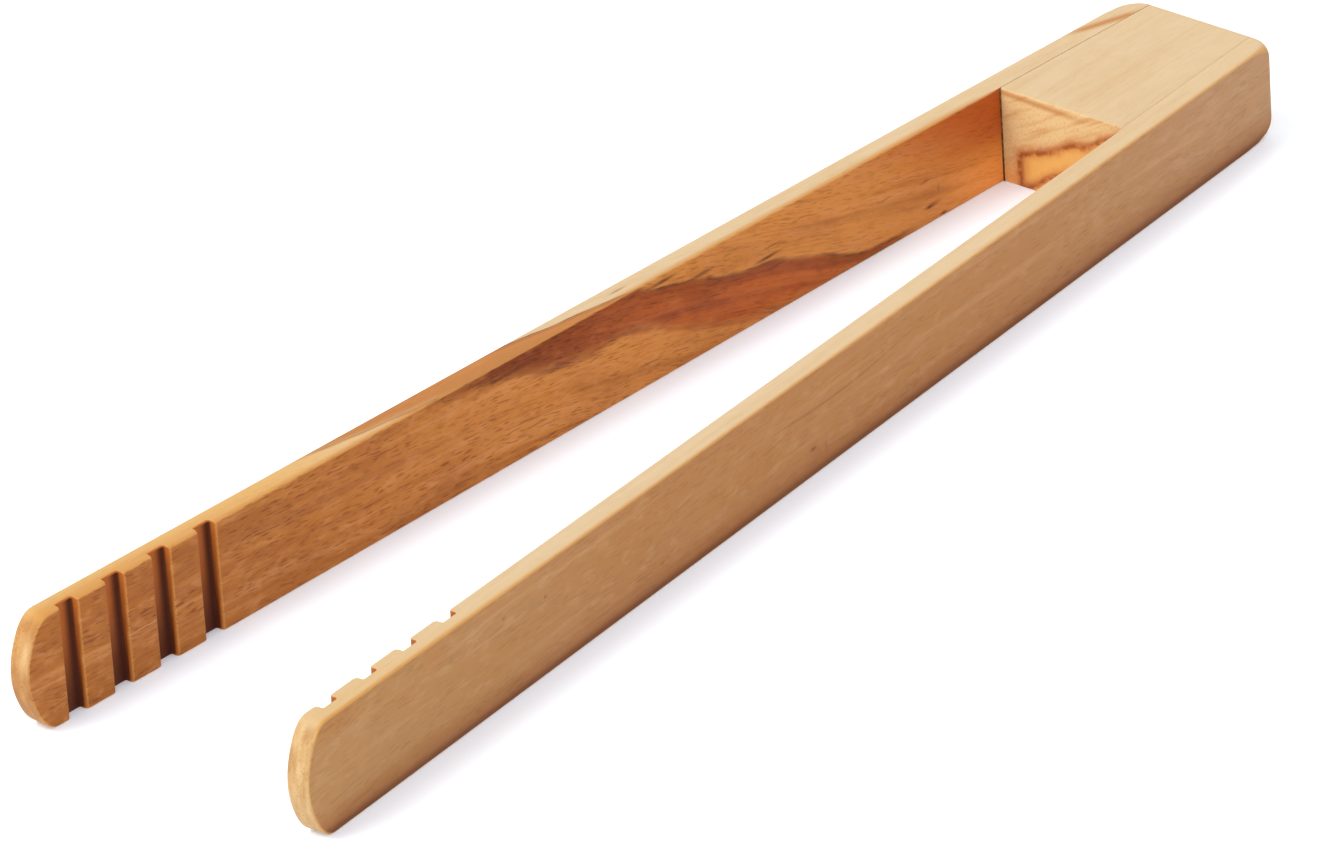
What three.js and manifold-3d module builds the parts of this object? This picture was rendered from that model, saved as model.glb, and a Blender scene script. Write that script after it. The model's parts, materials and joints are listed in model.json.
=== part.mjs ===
// Spring-action kitchen tongs in wood: two thin tapering arms glued to a wedge-shaped
// spacer block at the head. There is no coil, rivet or pin: the arms themselves are the
// spring. Each arm is one strip of wood, given here as the root that is glued to the
// block and the blade that swings when the arm bends.
//
// Millimetres. +X runs from the head to the tips, +Y to the left arm, +Z up. The tongs
// stand on the lower edges of the arms, so z = 0 is the table.

import * as THREE from "three";
import { mergeVertices } from "three/addons/utils/BufferGeometryUtils.js";
import Module from "manifold-3d";

// ---- driving dimensions -------------------------------------------------------------
const LENGTH = 300; // rear end of the head to the tips
const HEAD_WIDTH = 33.4; // over both arms at the rear end
const TIP_SPREAD = 69.4; // over both arms at the tips, at rest
const HEAD_HEIGHT = 19.4; // height of the arms at the rear end
const TIP_HEIGHT = 22.8; // height of the arms at the tips
const ARM_THICKNESS = 4.8;
const BLOCK_LENGTH = 43.6;

// ---- ends and edges -----------------------------------------------------------------
const TIP_CORNER = 6.5; // length of the rounded corners at the tip, seen from the side
const TIP_BOW = 0.8; // how far the end of the tip bulges between its corners
const OUTER_EDGE_RADIUS = 0.6; // long edges on the outside of the arms
const INNER_EDGE_RADIUS = 0.4; // long edges on the inside of the blades
const REAR_CORNER_RADIUS = 3.5; // rear corners, seen from above
const REAR_TOP_RADIUS = 0.9; // rear end, upper edge, seen from the side
const REAR_BOTTOM_RADIUS = 3.5; // rear end, lower edge, seen from the side

// ---- grip grooves across the inside of each tip -------------------------------------
const GROOVE_COUNT = 4;
const GROOVE_PITCH = 11.4;
const GROOVE_WIDTH = 4.1;
const GROOVE_DEPTH = 1.7;
const GROOVE_LIP_RADIUS = 0.7; // eased edge between a groove and the land beside it
const GROOVE_FLOOR_RADIUS = 0.5;
const FIRST_GROOVE_FROM_TIP = 11.2; // tip to the middle of the first groove

// ---- fits ---------------------------------------------------------------------------
const GLUE_LINE = 0.3; // between the block and each arm
const BEND_POINT = 0.15; // share of an arm's free length at which its bend is placed
const BEND_GAP = 0.4; // between an arm's root and its blade
const OVERRUN = 20; // how far a cutting shape runs past what it cuts

// ---- worked out from the above ------------------------------------------------------
const SPLAY = Math.atan((TIP_SPREAD - HEAD_WIDTH) / 2 / LENGTH); // of one arm from the X axis
const INNER_HALF = HEAD_WIDTH / 2 - ARM_THICKNESS / Math.cos(SPLAY); // inner face at the rear
const ARM_LENGTH = LENGTH / Math.cos(SPLAY);
const BLOCK_FRONT = BLOCK_LENGTH / Math.cos(SPLAY); // the block's front, along an arm
const BEND_X = BLOCK_FRONT + BEND_POINT * (ARM_LENGTH - BLOCK_FRONT);

/** Height of the arms at a distance along them. */
const heightAt = (x) => HEAD_HEIGHT + ((TIP_HEIGHT - HEAD_HEIGHT) * x) / ARM_LENGTH;

// ---- solids -------------------------------------------------------------------------
const wasm = await Module();
wasm.setup();

/** A closed three.js geometry as a manifold solid. */
function solid(geometry) {
  const bare = geometry.clone();
  bare.deleteAttribute("normal");
  bare.deleteAttribute("uv");
  const welded = mergeVertices(bare, 1e-5);
  return new wasm.Manifold(
    new wasm.Mesh({
      numProp: 3,
      vertProperties: Float32Array.from(welded.attributes.position.array),
      triVerts: Uint32Array.from(welded.index.array),
    }),
  );
}

/** A manifold solid as a three.js geometry. */
function geometryOf(body) {
  const mesh = body.getMesh();
  const geometry = new THREE.BufferGeometry();
  geometry.setAttribute("position", new THREE.BufferAttribute(Float32Array.from(mesh.vertProperties), 3));
  geometry.setIndex(new THREE.BufferAttribute(Uint32Array.from(mesh.triVerts), 1));
  geometry.computeVertexNormals();
  return geometry;
}

/** The same geometry on the other side of the XZ plane, still facing outwards. */
function mirrored(geometry) {
  const other = geometry.clone();
  other.scale(1, -1, 1);
  const index = other.index.array;
  for (let i = 0; i < index.length; i += 3) [index[i], index[i + 1]] = [index[i + 1], index[i]];
  other.computeVertexNormals();
  return other;
}

/** An outline seen from the side (x, z), made solid from y = from to y = to. */
function sideSlab(outline, from, to, edgeRadius = 0) {
  const geometry = new THREE.ExtrudeGeometry(outline, {
    depth: to - from - 2 * edgeRadius,
    bevelEnabled: edgeRadius > 0,
    bevelThickness: edgeRadius,
    bevelSize: edgeRadius,
    bevelOffset: -edgeRadius,
    bevelSegments: 4,
    curveSegments: 10,
  });
  geometry.rotateX(Math.PI / 2); // outline upright, thickness towards -Y
  geometry.translate(0, to - edgeRadius, 0);
  return geometry;
}

/** An outline seen from above (x, y), made solid well past the part's height. */
function planSlab(outline) {
  const depth = TIP_HEIGHT + 2 * OVERRUN;
  const geometry = new THREE.ExtrudeGeometry(outline, { depth, bevelEnabled: false, curveSegments: 10 });
  geometry.translate(0, 0, -OVERRUN);
  return geometry;
}

/** Everything from x = from to x = to along an arm. */
function lengthOfArm(from, to) {
  const box = new THREE.BoxGeometry(to - from, 4 * HEAD_WIDTH, 4 * TIP_HEIGHT);
  box.translate((from + to) / 2, 0, 0);
  return solid(box);
}

// ---- outlines -----------------------------------------------------------------------
/** An arm from the side, its rear running on past the head: straight below, rising
 * above, and a bowed end with rounded corners. */
function armSideOutline() {
  const top = heightAt(ARM_LENGTH - TIP_CORNER);
  const end = ARM_LENGTH - TIP_BOW;
  const lean = (2 * TIP_BOW) / (top / 2 - TIP_CORNER); // of the bow where a corner meets it
  const outline = new THREE.Shape();
  outline.moveTo(-OVERRUN, 0);
  outline.lineTo(ARM_LENGTH - TIP_CORNER, 0);
  outline.quadraticCurveTo(end - lean * TIP_CORNER, 0, end, TIP_CORNER);
  outline.quadraticCurveTo(ARM_LENGTH + TIP_BOW, top / 2, end, top - TIP_CORNER);
  outline.quadraticCurveTo(end - lean * TIP_CORNER, top, ARM_LENGTH - TIP_CORNER, top);
  outline.lineTo(-OVERRUN, heightAt(-OVERRUN));
  return outline;
}

/** The head from the side: two rounded rear corners, running on past the front. */
function headSideOutline() {
  const front = LENGTH + OVERRUN;
  const outline = new THREE.Shape();
  outline.moveTo(front, 0);
  outline.lineTo(front, heightAt(front));
  outline.lineTo(REAR_TOP_RADIUS, heightAt(REAR_TOP_RADIUS));
  outline.quadraticCurveTo(0, HEAD_HEIGHT, 0, HEAD_HEIGHT - REAR_TOP_RADIUS);
  outline.lineTo(0, REAR_BOTTOM_RADIUS);
  outline.absarc(REAR_BOTTOM_RADIUS, REAR_BOTTOM_RADIUS, REAR_BOTTOM_RADIUS, Math.PI, 1.5 * Math.PI);
  return outline;
}

/** The left half of the head from above, its outer rear corner rounded, and room to
 * spare everywhere ahead of it. */
function headPlanOutline() {
  const r = REAR_CORNER_RADIUS;
  const cornerY = HEAD_WIDTH / 2 - (r * (1 - Math.sin(SPLAY))) / Math.cos(SPLAY);
  const outline = new THREE.Shape();
  outline.moveTo(0, -OVERRUN);
  outline.lineTo(LENGTH + OVERRUN, -OVERRUN);
  outline.lineTo(LENGTH + OVERRUN, TIP_SPREAD);
  outline.lineTo(r * (1 - Math.sin(SPLAY)), TIP_SPREAD);
  outline.lineTo(r * (1 - Math.sin(SPLAY)), cornerY + r * Math.cos(SPLAY));
  outline.absarc(r, cornerY, r, Math.PI / 2 + SPLAY, Math.PI, false);
  return outline;
}

/** One grip groove from above, cut into the inner face y = 0, its lips eased. */
function grooveOutline() {
  const half = GROOVE_WIDTH / 2;
  const lip = GROOVE_LIP_RADIUS;
  const floor = GROOVE_FLOOR_RADIUS;
  const outline = new THREE.Shape();
  outline.moveTo(-half - lip, -OVERRUN / 10);
  outline.lineTo(half + lip, -OVERRUN / 10);
  outline.lineTo(half + lip, 0);
  outline.absarc(half + lip, lip, lip, 1.5 * Math.PI, Math.PI, true);
  outline.lineTo(half, GROOVE_DEPTH - floor);
  outline.absarc(half - floor, GROOVE_DEPTH - floor, floor, 0, Math.PI / 2, false);
  outline.absarc(-half + floor, GROOVE_DEPTH - floor, floor, Math.PI / 2, Math.PI, false);
  outline.lineTo(-half, lip);
  outline.absarc(-half - lip, lip, lip, 0, -Math.PI / 2, true);
  return outline;
}

// ---- pieces -------------------------------------------------------------------------
/** A shape of the head, in the frame of the left arm: x along the arm, inner face y = 0. */
function seenFromArm(geometry) {
  geometry.translate(0, -INNER_HALF, 0);
  geometry.rotateZ(-SPLAY);
  return geometry;
}

/** The left arm's root: square on the inside where it is glued, rounded outside, and
 * finished with the head's rear end. */
function armRoot() {
  const strip = solid(sideSlab(armSideOutline(), -OVERRUN, ARM_THICKNESS, OUTER_EDGE_RADIUS));
  const headSide = solid(seenFromArm(sideSlab(headSideOutline(), -TIP_SPREAD, TIP_SPREAD)));
  const headPlan = solid(seenFromArm(planSlab(headPlanOutline())));
  const glued = new THREE.Shape([
    new THREE.Vector2(-OVERRUN, 0),
    new THREE.Vector2(ARM_LENGTH, 0),
    new THREE.Vector2(ARM_LENGTH, TIP_SPREAD),
    new THREE.Vector2(-OVERRUN, TIP_SPREAD),
  ]);
  return strip
    .intersect(headSide)
    .intersect(headPlan)
    .intersect(solid(planSlab(glued)))
    .intersect(lengthOfArm(-OVERRUN, BEND_X - BEND_GAP / 2));
}

/** The left arm's blade: rounded all along both faces, with the grip grooves. */
function armBlade() {
  const outside = solid(sideSlab(armSideOutline(), -OVERRUN, ARM_THICKNESS, OUTER_EDGE_RADIUS));
  const inside = solid(sideSlab(armSideOutline(), 0, ARM_THICKNESS + OVERRUN, INNER_EDGE_RADIUS));
  let blade = outside
    .intersect(inside)
    .intersect(lengthOfArm(BEND_X + BEND_GAP / 2, ARM_LENGTH + OVERRUN));
  for (let i = 0; i < GROOVE_COUNT; i++) {
    const groove = planSlab(grooveOutline());
    groove.translate(ARM_LENGTH - FIRST_GROOVE_FROM_TIP - i * GROOVE_PITCH, 0, 0);
    blade = blade.subtract(solid(groove));
  }
  return blade;
}

/** The spacer block: a wedge that fills the head between the two arms. */
function spacerBlock() {
  const rear = INNER_HALF - GLUE_LINE;
  const front = rear + BLOCK_LENGTH * Math.tan(SPLAY);
  const wedge = new THREE.Shape([
    new THREE.Vector2(-OVERRUN, -rear + OVERRUN * Math.tan(SPLAY)),
    new THREE.Vector2(BLOCK_LENGTH, -front),
    new THREE.Vector2(BLOCK_LENGTH, front),
    new THREE.Vector2(-OVERRUN, rear - OVERRUN * Math.tan(SPLAY)),
  ]);
  const headSide = solid(sideSlab(headSideOutline(), -TIP_SPREAD, TIP_SPREAD));
  return solid(planSlab(wedge)).intersect(headSide);
}

// ---- materials ----------------------------------------------------------------------
/** Oiled olive wood in the tone of one board. */
const wood = (color, roughness) => new THREE.MeshStandardMaterial({ color, roughness, metalness: 0 });
const paleWood = wood("#dcb783", 0.6);
const tanWood = wood("#b98c5c", 0.55);
const tawnyWood = wood("#b87440", 0.6);

function named(name, geometry, material) {
  const mesh = new THREE.Mesh(geometry, material);
  mesh.name = name;
  return mesh;
}

// ---- assembly -----------------------------------------------------------------------
const tongs = new THREE.Group();
tongs.name = "kitchen_tongs";
tongs.position.x = -LENGTH / 2;

tongs.add(named("spacer_block", geometryOf(spacerBlock()), paleWood));

const rootGeometry = geometryOf(armRoot());
const bladeGeometry = geometryOf(armBlade());

const leftArm = new THREE.Group();
leftArm.position.y = INNER_HALF;
leftArm.rotation.z = SPLAY;
leftArm.add(named("left_arm_root", rootGeometry, tanWood));
leftArm.add(named("left_arm_blade", bladeGeometry, tanWood));
tongs.add(leftArm);

const rightArm = new THREE.Group();
rightArm.position.y = -INNER_HALF;
rightArm.rotation.z = -SPLAY;
rightArm.add(named("right_arm_root", mirrored(rootGeometry), tawnyWood));
rightArm.add(named("right_arm_blade", mirrored(bladeGeometry), tawnyWood));
tongs.add(rightArm);

export default tongs;
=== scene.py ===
"""Spring-action kitchen tongs in olive wood: two thin arms on edge, glued to a wedge block.

Laid out as an add-on and run as a script. Everything is in metres, in the frame of the
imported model: +X from the head to the tips, +Y to the left arm, +Z up, table at z = 0.
"""

import json
import math

import bmesh
import bpy
from mathutils import Matrix, Quaternion, Vector


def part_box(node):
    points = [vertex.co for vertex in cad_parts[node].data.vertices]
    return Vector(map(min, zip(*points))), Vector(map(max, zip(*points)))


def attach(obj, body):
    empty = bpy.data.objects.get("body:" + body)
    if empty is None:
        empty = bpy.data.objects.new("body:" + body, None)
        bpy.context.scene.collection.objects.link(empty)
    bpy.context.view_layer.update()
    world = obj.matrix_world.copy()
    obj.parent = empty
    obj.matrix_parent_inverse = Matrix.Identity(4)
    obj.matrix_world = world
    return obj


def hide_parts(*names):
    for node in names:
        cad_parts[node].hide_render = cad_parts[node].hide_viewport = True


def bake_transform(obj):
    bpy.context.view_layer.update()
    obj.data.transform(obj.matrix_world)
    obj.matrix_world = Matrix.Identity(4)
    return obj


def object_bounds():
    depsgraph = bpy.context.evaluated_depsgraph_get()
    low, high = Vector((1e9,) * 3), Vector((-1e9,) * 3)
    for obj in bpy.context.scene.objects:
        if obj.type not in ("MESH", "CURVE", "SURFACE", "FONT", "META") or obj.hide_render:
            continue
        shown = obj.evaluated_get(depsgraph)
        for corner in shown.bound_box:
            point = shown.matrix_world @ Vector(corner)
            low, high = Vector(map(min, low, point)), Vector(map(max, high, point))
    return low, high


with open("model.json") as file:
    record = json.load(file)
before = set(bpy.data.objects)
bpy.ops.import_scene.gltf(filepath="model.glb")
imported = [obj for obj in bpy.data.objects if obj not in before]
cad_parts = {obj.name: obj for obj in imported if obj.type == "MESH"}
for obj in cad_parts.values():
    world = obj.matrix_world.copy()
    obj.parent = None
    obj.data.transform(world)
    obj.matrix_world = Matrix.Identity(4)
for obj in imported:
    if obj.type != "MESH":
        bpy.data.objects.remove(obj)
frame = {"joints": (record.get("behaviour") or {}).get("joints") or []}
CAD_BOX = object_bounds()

bl_info = {
    "name": "Wooden kitchen tongs",
    "version": (1, 0, 0),
    "blender": (4, 5, 0),
    "location": "3D View > Sidebar > Tongs",
    "description": "Builds a pair of spring-action olive wood tongs around their packed frame",
    "category": "Add Mesh",
}

MM = 0.001
WELD = 0.002 * MM  # points closer than this are one point
CRISP = 0.04 * MM  # radius of an edge that is left sharp
NEAREST = 0.02 * MM  # rings of an arm are at least this far apart
BEND_REACH = 30 * MM  # rings of an arm are packed closer this far on both sides of its hinge

# ---- what the frame says ------------------------------------------------------------
BLOCK_LOW, BLOCK_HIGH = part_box("spacer_block")
REAR_X = BLOCK_LOW.x
BLOCK_LENGTH = BLOCK_HIGH.x - BLOCK_LOW.x
TIP_X = CAD_BOX[1].x
LENGTH = TIP_X - REAR_X
HINGE_X = next(j for j in frame["joints"] if j["name"] == "left_arm_flex")["pos_m"][0]


def linear(text):
    """An sRGB hex colour as linear red, green and blue."""
    channels = [int(text[i : i + 2], 16) / 255 for i in (1, 3, 5)]
    return tuple(c / 12.92 if c <= 0.04045 else ((c + 0.055) / 1.055) ** 2.4 for c in channels)


# ---- settings -----------------------------------------------------------------------
def length(name, description, default):
    """A length that a user may change."""
    return bpy.props.FloatProperty(
        name=name, description=description, default=default, min=0.0, precision=5, unit="LENGTH"
    )


def colour(name, description, default):
    """A colour that a user may change."""
    return bpy.props.FloatVectorProperty(
        name=name, description=description, default=linear(default), min=0.0, max=1.0, subtype="COLOR"
    )


class TongsSizes(bpy.types.PropertyGroup):
    """Sizes of the wooden pieces."""

    head_width: length("Head width", "Over both arms at the rear end", 33.4 * MM)
    tip_spread: length("Tip spread", "Over both arms at the tips, at rest", 69.4 * MM)
    head_height: length("Head height", "Height of the arms at the rear end", 19.4 * MM)
    tip_height: length("Tip height", "Height of the arms at the tips", 22.8 * MM)
    thickness: length("Arm thickness", "Thickness of one arm", 4.8 * MM)
    outer_edge: length("Outer edge radius", "Long edges on the outside of the arms", 0.5 * MM)
    inner_edge: length("Inner edge radius", "Long edges on the inside of the arms", 0.4 * MM)
    left_corner: length("Left rear corner", "Rear corner of the left arm, seen from above", 1.7 * MM)
    right_corner: length("Right rear corner", "Rear corner of the right arm, seen from above", 4.4 * MM)
    left_shoulder: length("Left shoulder", "Upper rear corner of the left arm, outside", 3.0 * MM)
    right_shoulder: length("Right shoulder", "Upper rear corner of the right arm, outside", 1.2 * MM)
    left_heel: length("Left heel", "Lower rear corner of the left arm, outside", 4.6 * MM)
    right_heel: length("Right heel", "Lower rear corner of the right arm, outside", 3.5 * MM)
    rear_edge: length("Rear edge radius", "Long outer edges where they meet the rear end", 1.8 * MM)
    rear_top: length("Rear top radius", "Rear end, upper edge", 0.9 * MM)
    rear_bottom: length("Rear bottom radius", "Rear end, lower edge", 3.5 * MM)
    tip_corner: length("Tip corner", "Length of the rounded corners of the tips", 6.5 * MM)
    tip_bow: length("Tip bow", "Bulge of the end of a tip between its corners", 0.8 * MM)
    groove_pitch: length("Groove pitch", "From one grip groove to the next", 11.4 * MM)
    groove_width: length("Groove width", "Width of a grip groove", 4.1 * MM)
    groove_depth: length("Groove depth", "Depth of a grip groove", 1.7 * MM)
    groove_lip: length("Groove lip radius", "Eased edge beside a groove", 0.7 * MM)
    groove_floor: length("Groove floor radius", "Inner corners of a groove", 0.5 * MM)
    first_groove: length("First groove", "Tip to the middle of the first groove", 11.2 * MM)
    grooves: bpy.props.IntProperty(
        name="Grooves", description="Grip grooves on each arm", default=4, min=0, max=12
    )
    glue_line: length("Glue line", "Glue between the block and each arm", 0.1 * MM)


class TongsColours(bpy.types.PropertyGroup):
    """Tones of the oiled olive wood."""

    # The cream of the narrow edges and the block top is partly the wood's tone and partly painted light
    # from above.
    cream_and_top_light: colour("Sapwood", "Pale cream wood of the edges and the block", "#c5ab86")
    rear_tan: colour("Rear tan", "Left arm beside the block", "#a97f58")
    middle_tan: colour("Middle tan", "Left arm at its middle", "#a46f3d")
    tip_tan: colour("Tip tan", "Left arm at its tip", "#a77948")
    bright_tawny: colour("Bright tawny", "Right arm ahead of the block", "#d38a3f")
    deep_tawny: colour("Deep tawny", "Right arm at its tip", "#a66427")
    bright_heart: colour("Bright heartwood", "Heartwood nearer the block", "#b95e23")
    deep_heart: colour("Deep heartwood", "Heartwood nearer the tip", "#7c380d")
    vein: colour("Vein", "Thin dark veins and knots", "#6a3010")
    pore: colour("Pores", "What is left of the tone beneath in an open pore", "#a47e5a")
    # The groove floor tone is partly the sawn wood and partly painted shade.
    cut: colour("Saw cut", "Floors of the grip grooves", "#ac5c22")
    # Near-black painted shadow deep in the grip grooves, over their darker end grain.
    groove_shadow: colour("Scorch", "Walls of the grip grooves, end grain warmed by the saw", "#401503")
    left_end: colour("Left tip end", "End grain of the left tip", "#ba9462")
    right_end: colour("Right tip end", "End grain of the right tip", "#ad7b44")
    front: colour("Block front", "End grain of the block", "#dcbb86")
    front_heart: colour("Block heart", "Heart inside the dark loop of the block", "#e0a85a")
    glue: colour("Dark glue", "Squeezed-out glue with sanding dust", "#562b12")
    pale_glue: colour("Pale glue", "Thin clean glue line", "#c9aa80")
    floor: colour("Floor", "The table that the tongs stand on", "#f1f5fa")


# ---- lofting ------------------------------------------------------------------------
def blend01(value, low, high):
    """0 below low, 1 above high, and a smooth step between them."""
    t = min(1.0, max(0.0, (value - low) / (high - low)))
    return t * t * (3 - 2 * t)


def arc_drop(distance, radius):
    """How far a rounded edge has dropped at a distance from its end."""
    if distance >= radius:
        return 0.0
    return radius - math.sqrt(radius * radius - (radius - distance) ** 2)


def spaced(start, stop, step):
    """Numbers from start up to stop, about a step apart, with stop left out."""
    count = max(1, round((stop - start) / step))
    return [start + (stop - start) * i / count for i in range(count)]


def arc_steps(radius, count):
    """Distances that step evenly round a quarter circle."""
    return [radius * (1 - math.cos(0.5 * math.pi * i / count)) for i in range(count)]


def loft(name, rings, board_of, rim_of=lambda n, i: 0.0, cut_of=lambda n, i: 0.0):
    """A closed mesh through rings of points: a circle of edges is extruded from ring to
    ring, and each new circle is laid on its ring's points.

    For point i of ring n, board_of gives its place in the board that it is cut from, in
    millimetres, rim_of how far it lies on the narrow edge of the board rather than on its
    face, and cut_of how deep it lies in a groove."""
    bm = bmesh.new()
    lane = bm.verts.layers.int.new("lane")
    board = bm.verts.layers.float_vector.new("board")
    rim = bm.verts.layers.float.new("rim")
    cut = bm.verts.layers.float.new("cut")
    made = bmesh.ops.create_circle(bm, cap_ends=False, segments=len(rings[0]), radius=1.0)
    verts = made["verts"]
    for i, vert in enumerate(verts):
        vert[lane] = i
    for number, ring in enumerate(rings):
        if number:
            last = set(verts)
            edges = [e for e in bm.edges if last.issuperset(e.verts)]
            made = bmesh.ops.extrude_edge_only(bm, edges=edges)["geom"]
            verts = [v for v in made if isinstance(v, bmesh.types.BMVert)]
        for vert in verts:
            vert.co = ring[vert[lane]]
            vert[board] = board_of(number, vert[lane])
            vert[rim] = rim_of(number, vert[lane])
            vert[cut] = cut_of(number, vert[lane])
    bmesh.ops.remove_doubles(bm, verts=bm.verts, dist=WELD)
    for face in bm.faces:
        face.smooth = True
    bmesh.ops.holes_fill(bm, edges=[e for e in bm.edges if e.is_boundary], sides=0)
    bmesh.ops.recalc_face_normals(bm, faces=bm.faces)
    mesh = bpy.data.meshes.new(name)
    bm.to_mesh(mesh)
    bm.free()
    piece = bpy.data.objects.new(name, mesh)
    bpy.context.collection.objects.link(piece)
    return piece


# ---- arms ---------------------------------------------------------------------------
class Arm:
    """An arm in its own frame: x along it from the rear end, y outwards from the inner
    face, z up.

    rear_corner is the radius of its rear end seen from above, and shoulder and heel are
    those of its upper and lower rear corners, at the outer face."""

    ARC_STEPS = 5
    RIM_STEPS = 3
    FACE_STEPS = 8
    RUN = 2 * (ARC_STEPS + 1) + RIM_STEPS - 1  # points across a narrow edge, corners included

    def __init__(self, sizes, rear_corner=0.0, shoulder=0.0, heel=0.0):
        self.s = sizes
        self.rear_corner = rear_corner
        self.shoulder = shoulder
        self.heel = heel
        self.splay = math.atan((sizes.tip_spread - sizes.head_width) / 2 / LENGTH)
        self.inner_half = sizes.head_width / 2 - sizes.thickness / math.cos(self.splay)
        self.length = LENGTH / math.cos(self.splay)
        self.block_front = BLOCK_LENGTH / math.cos(self.splay)
        self.hinge = (HINGE_X - REAR_X) / math.cos(self.splay)

    def height(self, x):
        """Height of the arm at a distance along it."""
        rise = (self.s.tip_height - self.s.head_height) / self.length
        return self.s.head_height + rise * x

    def place(self, side):
        """Matrix from the arm's own frame to the row frame, for side 1 or -1."""
        return (
            Matrix.Translation((REAR_X, side * self.inner_half, 0))
            @ Matrix.Rotation(side * self.splay, 4, "Z")
            @ Matrix.Diagonal((1, side, 1, 1))
        )

    def groove_middles(self):
        """Where the middle of each groove lies along the arm, from the tip back."""
        s = self.s
        return [self.length - s.first_groove - i * s.groove_pitch for i in range(s.grooves)]

    def groove_floor(self, x):
        """How deep the inner face is cut at a distance along the arm."""
        s = self.s
        for middle in self.groove_middles():
            off = abs(x - middle) - s.groove_width / 2
            if off < s.groove_lip:
                if off > 0:
                    return arc_drop(off, s.groove_lip)
                return s.groove_depth - arc_drop(-off, s.groove_floor)
        return 0.0

    def groove_shade(self, x):
        """How deep the inner face is cut, as a share, and up to twice that by a rear wall, where the
        groove's painted shadow is darkest.
        """
        s = self.s
        depth = self.groove_floor(x) / s.groove_depth
        for middle in self.groove_middles():
            off = x - middle
            if abs(off) < s.groove_width / 2 + s.groove_lip:
                return depth * (1.5 - off / s.groove_width)
        return depth

    def groove_stations(self):
        """Where the grooves need a ring: round each lip, at each wall and across the floor."""
        s, found = self.s, []
        lips = [s.groove_lip * k for k in (1.0, 0.75, 0.5, 0.28, 0.12, 0.03)]
        floors = [s.groove_floor * k for k in (0.0, 0.1, 0.35, 0.65, 1.0)]
        half = s.groove_width / 2
        inside = 0.005 * MM  # the rings of a floor start this far inside the walls
        for middle in self.groove_middles():
            for way in (-1, 1):
                found += [middle + way * (half + d) for d in lips]
                found += [middle + way * (half - d - inside) for d in floors]
            found.append(middle)
        return found

    def stations(self):
        """Distances along the arm, from the rear end to where the tip's corners start."""
        s = self.s
        found = arc_steps(self.rear_corner, 8) + arc_steps(s.rear_top, 4)
        found += arc_steps(s.rear_bottom, 6)
        corner = self.length - s.tip_corner
        found += [self.block_front + d * MM for d in (-1.0, 0.0, 1.5, 3.0)]
        found += spaced(self.hinge - BEND_REACH, self.hinge + BEND_REACH, 1.5 * MM)
        found += spaced(self.rear_corner, corner, 4 * MM)
        found += self.groove_stations()
        kept = [0.0]
        for x in sorted(found):
            if x - kept[-1] > NEAREST and x < corner:
                kept.append(x)
        return kept

    def outline(self):
        """Each ring's place on the side outline, with the rear end square and the tip bowed:
        the point below, its inward direction, the point above and its own, all in (x, z)."""
        s, pairs = self.s, []
        for x in self.stations():
            low = arc_drop(x, s.rear_bottom)
            high = self.height(x) - arc_drop(x, s.rear_top)
            pairs.append((Vector((x, low)), Vector((0, 1)), Vector((x, high)), Vector((0, -1))))
        top = self.height(self.length - s.tip_corner)
        end = self.length - s.tip_bow
        lean = 2 * s.tip_bow / (top / 2 - s.tip_corner)
        corner = [
            Vector((self.length - s.tip_corner, 0)),
            Vector((end - lean * s.tip_corner, 0)),
            Vector((end, s.tip_corner)),
        ]
        bow = [
            Vector((end, s.tip_corner)),
            Vector((self.length + s.tip_bow, top / 2)),
            Vector((end, top - s.tip_corner)),
        ]
        # Round the whole lower corner, then along the lower half of the bow; above is mirrored.
        steps = [(corner, i / 10) for i in range(10)] + [(bow, 0.5 * i / 8) for i in range(9)]
        for curve, t in steps:
            point = curve[0] * (1 - t) ** 2 + curve[1] * 2 * t * (1 - t) + curve[2] * t * t
            along = (curve[1] - curve[0]) * (1 - t) + (curve[2] - curve[1]) * t
            inward = Vector((-along.y, along.x)).normalized()
            mirrored = Vector((point.x, top - point.y))
            pairs.append((point, inward, mirrored, Vector((inward.x, -inward.y))))
        return pairs

    def profile(self, x):
        """Across the narrow edge at x, from the inner face to the outer: (distance in from
        the outline, y) with both corners rounded."""
        s = self.s
        inner = self.groove_floor(x)
        outer = s.thickness - arc_drop(x, self.rear_corner)
        free = blend01(x, self.block_front - 0.5 * MM, self.block_front + 3 * MM)
        r_in = CRISP + (s.inner_edge - CRISP) * free
        rear = 1 - blend01(x, 0.0, 8 * MM)
        r_out = min(s.outer_edge + (s.rear_edge - s.outer_edge) * rear, 0.7 * (outer - inner))
        points = []
        for i in range(self.ARC_STEPS + 1):
            a = 0.5 * math.pi * i / self.ARC_STEPS
            points.append((r_in * (1 - math.sin(a)), inner + r_in * (1 - math.cos(a))))
        for i in range(1, self.RIM_STEPS):
            share = i / self.RIM_STEPS
            points.append((0.0, inner + r_in + (outer - r_out - inner - r_in) * share))
        for i in range(self.ARC_STEPS + 1):
            a = 0.5 * math.pi * i / self.ARC_STEPS
            points.append((r_out * (1 - math.cos(a)), outer - r_out * (1 - math.sin(a))))
        return points

    def face_run(self, start, stop):
        """Points on a broad face between two edges, closer together beside each edge."""
        turns = [math.pi * i / self.FACE_STEPS for i in range(1, self.FACE_STEPS)]
        return [start.lerp(stop, 0.5 - 0.5 * math.cos(turn)) for turn in turns]

    def rings(self):
        """Every ring of the arm, in its own frame."""
        s, rings = self.s, []
        for low, low_in, high, high_in in self.outline():
            edge = self.profile(low.x)
            # The rear rings lean forward by the splay, so that the rear end is square to X.
            skew = math.tan(self.splay) * (1 - blend01(low.x, 0, 25 * MM))

            def at(point, inward, step):
                flat = point + inward * step[0]
                return Vector((flat.x + skew * step[1], step[1], flat.y))

            below = [at(low, low_in, step) for step in edge]
            above = [at(high, high_in, step) for step in reversed(edge)]
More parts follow.
